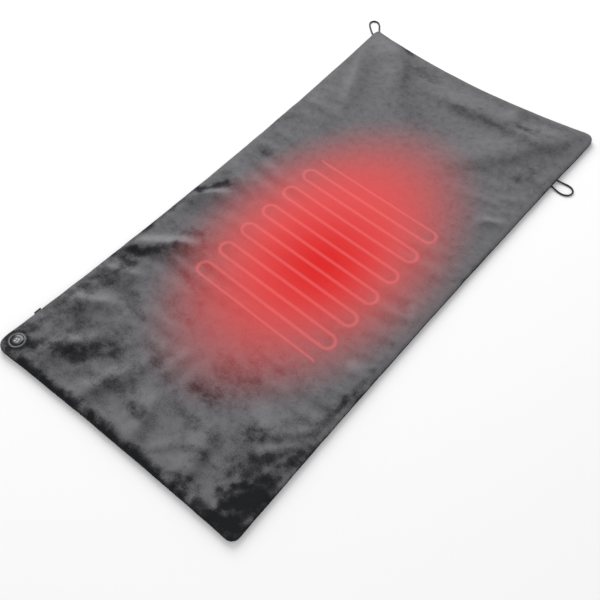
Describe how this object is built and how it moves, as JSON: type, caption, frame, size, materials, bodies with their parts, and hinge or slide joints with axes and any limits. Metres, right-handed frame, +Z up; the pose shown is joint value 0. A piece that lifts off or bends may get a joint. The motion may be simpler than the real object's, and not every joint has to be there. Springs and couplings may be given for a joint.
{
  "type": "heated plush throw",
  "caption": "Flat heated plush throw with a serpentine heating wire inside, a push-button controller let into one corner, a supply socket in the seam and cord hanging loops.",
  "frame": {"origin": "centre of the throw's box without its cord loops, on the surface it lies on", "axes": "+X across the width, +Y along the length away from the controller's end, +Z up"},
  "size_m": [0.567, 1.0316, 0.0149],
  "materials": {
    "plush_top": "mid-grey short-pile plush, crushed in places",
    "plush_back": "darker grey short-pile plush",
    "seam_fabric": "overlocked plush seam allowance",
    "wadding": "white polyester wadding",
    "nonwoven": "white non-woven carrier sheet",
    "heating_wire": "silicone-sheathed carbon-fibre heating wire",
    "red_insulation": "soft PVC lead insulation",
    "black_insulation": "soft PVC lead insulation",
    "crimp_metal": "tinned brass crimp",
    "shrink_sleeve": "shrunk polyolefin",
    "cutout_can": "drawn steel can",
    "controller_plastic": "fine-grained moulded black ABS",
    "button_gloss": "polished black button",
    "light_diffuser": "frosted light-grey light guide",
    "ring_diffuser": "frosted grey light ring",
    "circuit_board": "green solder mask",
    "chip_epoxy": "moulded epoxy",
    "led_body": "white light-emitting diode body",
    "switch_plastic": "nylon switch housing",
    "plunger_plastic": "nylon plunger",
    "screw_steel": "zinc-plated screw",
    "grommet_rubber": "soft grommet",
    "socket_metal": "stamped steel socket shell",
    "elastic_cord": "braided black cord"
  },
  "bodies": {
    "throw": {"top_cover": "plush_top", "back_cover": "plush_back", "seam_allowance": "seam_fabric", "upper_wadding": "wadding", "lower_wadding": "wadding", "heater_carrier": "nonwoven", "heating_wire": "heating_wire", "feed_crimp": "crimp_metal", "return_crimp": "crimp_metal", "feed_shrink_sleeve": "shrink_sleeve", "return_shrink_sleeve": "shrink_sleeve", "feed_lead": "red_insulation", "cutout_lead": "black_insulation", "return_lead": "black_insulation", "thermal_cutout": "cutout_can", "controller_base": "controller_plastic", "controller_bezel": "controller_plastic", "light_ring": "ring_diffuser", "circuit_board": "circuit_board", "control_chip": "chip_epoxy", "heater_transistor": "chip_epoxy", "timer_led_1": "led_body", "timer_led_2": "led_body", "ring_led_1": "led_body", "ring_led_2": "led_body", "switch_body": "switch_plastic", "controller_screw_1": "screw_steel", "controller_screw_2": "screw_steel", "controller_screw_3": "screw_steel", "heater_lead_grommet": "grommet_rubber", "supply_cable_grommet": "grommet_rubber", "supply_socket_housing": "controller_plastic", "supply_socket_shell": "socket_metal", "supply_socket_tongue": "controller_plastic", "supply_cable": "black_insulation", "corner_loop": "elastic_cord", "side_loop": "elastic_cord"},
    "button": {"button_cap": "button_gloss", "symbol_light_guide": "light_diffuser", "timer_light_window_1": "light_diffuser", "timer_light_window_2": "light_diffuser"},
    "plunger": {"switch_plunger": "plunger_plastic"}
  },
  "joints": [
    {"name": "button_press", "type": "slide", "parent": "throw", "child": "button", "axis": [0, 0, -1], "range_m": [0, 0.0005], "stiffness_N_per_m": 2500, "springref_m": -0.0003},
    {"name": "plunger_press", "type": "slide", "parent": "throw", "child": "plunger", "axis": [0, 0, -1], "range_m": [0, 0.0005]}
  ],
  "couplings": [
    {"joint": "plunger_press", "follows": "button_press", "ratio": 1}
  ]
}
